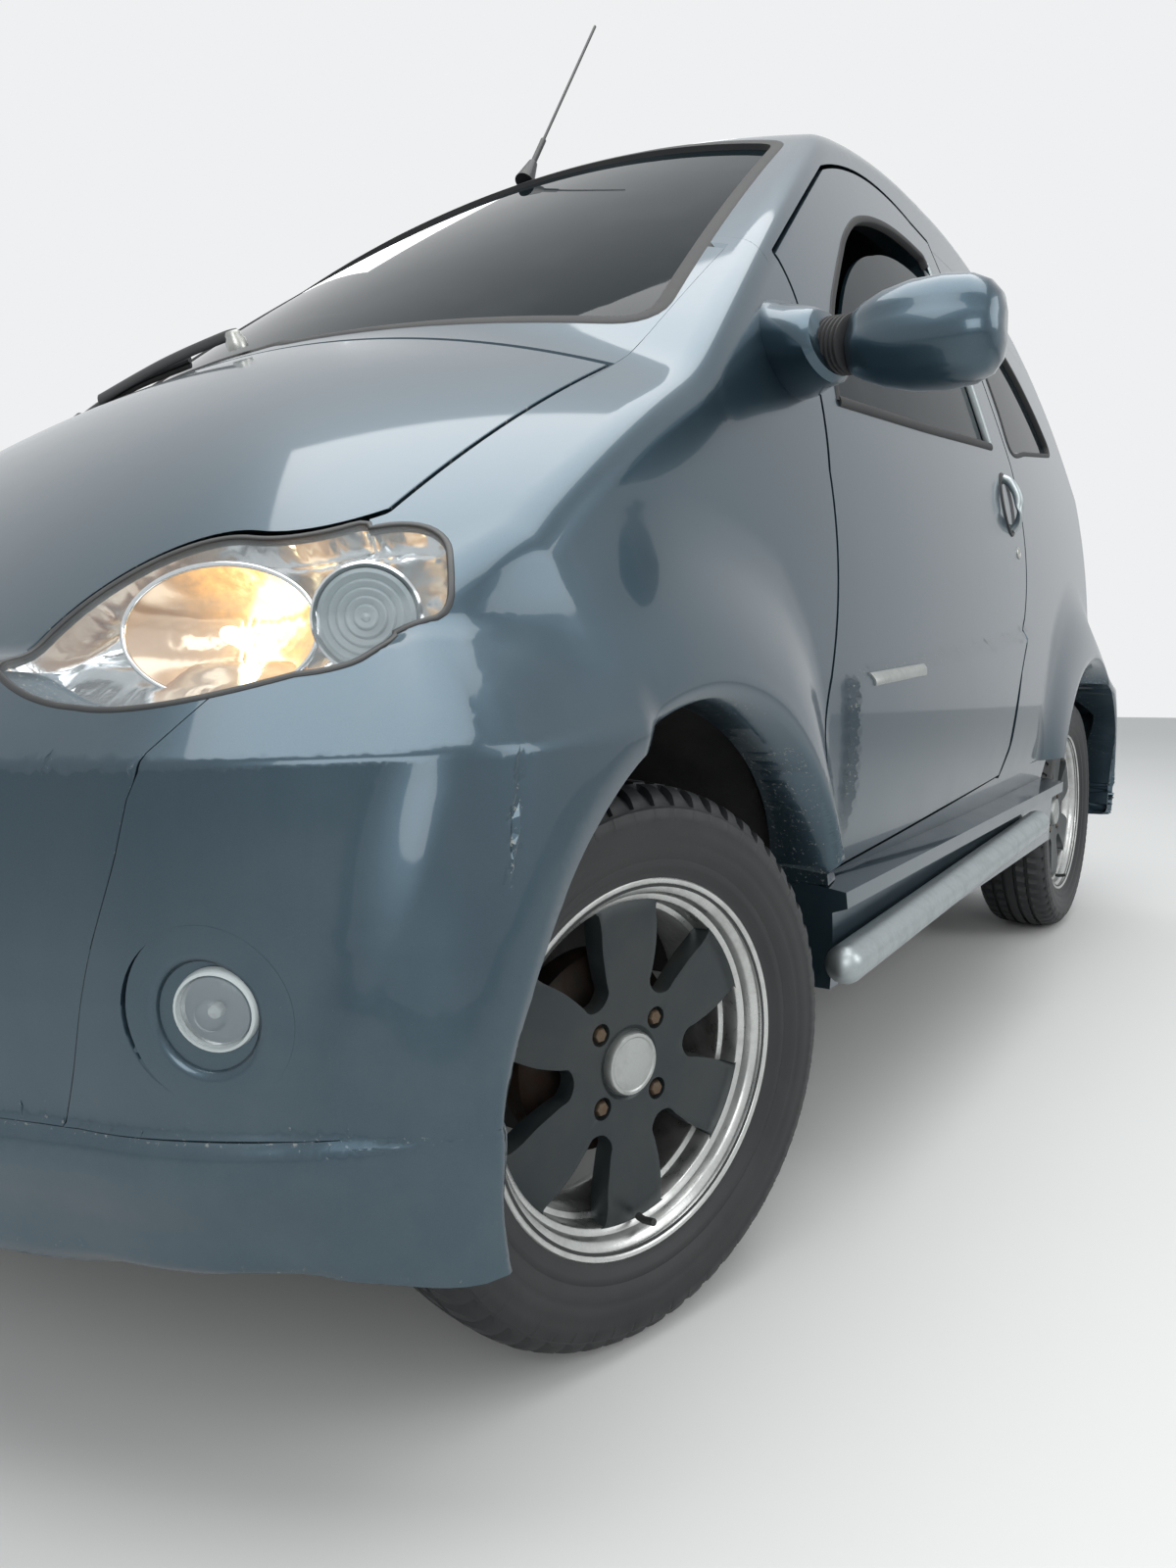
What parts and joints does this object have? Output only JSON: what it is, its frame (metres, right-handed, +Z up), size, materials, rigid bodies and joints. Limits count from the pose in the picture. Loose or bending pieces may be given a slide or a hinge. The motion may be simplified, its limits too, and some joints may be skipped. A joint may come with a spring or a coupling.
{
  "type": "microcar",
  "caption": "Small two-door car with a rounded one-box body, opening doors, bonnet and tailgate, and steered front wheels on knuckles",
  "frame": {"origin": "middle of the bounding box on the floor under the tyres", "axes": "+Z up, -Y towards the front of the car, +X towards its left side; +Y is the longest extent"},
  "size_m": [1.828, 2.7501, 1.8054],
  "materials": {
    "body_paint": "metallic graphite, clear coated",
    "clear_glass": "tinted",
    "lamp_clear": "clear lens over bright reflector",
    "lamp_red": "gloss",
    "black_trim": "satin",
    "chassis_black": "matt",
    "tyre_rubber": "matt",
    "alloy": "dark faces with bright machined edges",
    "steel": "dull",
    "silver_tube": "satin silver",
    "engine_iron": "dull",
    "seat_cloth": "woven"
  },
  "bodies": {
    "car": {"antenna": "black_trim", "chassis": "chassis_black", "cowl": "black_trim", "dashboard": "black_trim", "engine": "engine_iron", "fender_left": "body_paint", "fender_right": "body_paint", "fog_lamps": "lamp_clear", "front_lip": "body_paint", "front_suspension": "steel", "grille": "black_trim", "headlamp_left": "lamp_clear", "headlamp_right": "lamp_clear", "mirror_left": "body_paint", "mirror_right": "body_paint", "nose_panel": "body_paint", "quarter_glasses": "clear_glass", "quarter_left": "body_paint", "quarter_right": "body_paint", "rear_axle": "steel", "rear_bumper": "body_paint", "roof": "body_paint", "seats": "seat_cloth", "side_tubes": "silver_tube", "sills": "body_paint", "steering_wheel": "black_trim", "tail_lamps": "lamp_red", "windscreen": "clear_glass", "wiper": "black_trim"},
    "door_left": {"door_left": "body_paint", "door_glass_left": "clear_glass"},
    "door_right": {"door_right": "body_paint", "door_glass_right": "clear_glass"},
    "bonnet": {"bonnet": "body_paint"},
    "tailgate": {"tailgate": "body_paint", "rear_glass": "clear_glass"},
    "knuckle_left": {"knuckle_left": "steel"},
    "knuckle_right": {"knuckle_right": "steel"},
    "wheel_front_left": {"tyre_front_left": "tyre_rubber", "rim_front_left": "alloy"},
    "wheel_front_right": {"tyre_front_right": "tyre_rubber", "rim_front_right": "alloy"},
    "wheel_rear_left": {"tyre_rear_left": "tyre_rubber", "rim_rear_left": "alloy"},
    "wheel_rear_right": {"tyre_rear_right": "tyre_rubber", "rim_rear_right": "alloy"}
  },
  "joints": [
    {"name": "steer_left", "type": "hinge", "parent": "car", "child": "knuckle_left", "pos_m": [0.52, -0.815, 0.266], "axis": [0, 0, 1], "range_deg": [-14, 42]},
    {"name": "steer_right", "type": "hinge", "parent": "car", "child": "knuckle_right", "pos_m": [-0.52, -0.815, 0.266], "axis": [0, 0, 1], "range_deg": [-14, 42]},
    {"name": "roll_front_left", "type": "hinge", "parent": "knuckle_left", "child": "wheel_front_left", "pos_m": [0.61412, -0.83847, 0.266], "axis": [0.9703, -0.2419, 0], "continuous": true},
    {"name": "roll_front_right", "type": "hinge", "parent": "knuckle_right", "child": "wheel_front_right", "pos_m": [-0.61412, -0.79153, 0.266], "axis": [0.9703, -0.2419, 0], "continuous": true},
    {"name": "roll_rear_left", "type": "hinge", "parent": "car", "child": "wheel_rear_left", "pos_m": [0.617, 0.98, 0.266], "axis": [1, 0, 0], "continuous": true},
    {"name": "roll_rear_right", "type": "hinge", "parent": "car", "child": "wheel_rear_right", "pos_m": [-0.617, 0.98, 0.266], "axis": [1, 0, 0], "continuous": true},
    {"name": "door_left_swing", "type": "hinge", "parent": "car", "child": "door_left", "pos_m": [0.702, -0.503, 0.7], "axis": [0, 0, -1], "range_deg": [0, 54]},
    {"name": "door_right_swing", "type": "hinge", "parent": "car", "child": "door_right", "pos_m": [-0.702, -0.503, 0.7], "axis": [0, 0, 1], "range_deg": [0, 54]},
    {"name": "bonnet_lift", "type": "hinge", "parent": "car", "child": "bonnet", "pos_m": [0, -0.753, 1.024], "axis": [-1, 0, 0], "range_deg": [0, 36]},
    {"name": "tailgate_lift", "type": "hinge", "parent": "car", "child": "tailgate", "pos_m": [0, 0.92, 1.412], "axis": [1, 0, 0], "range_deg": [0, 75]}
  ],
  "couplings": [
    {"joint": "steer_right", "follows": "steer_left", "ratio": 1}
  ]
}
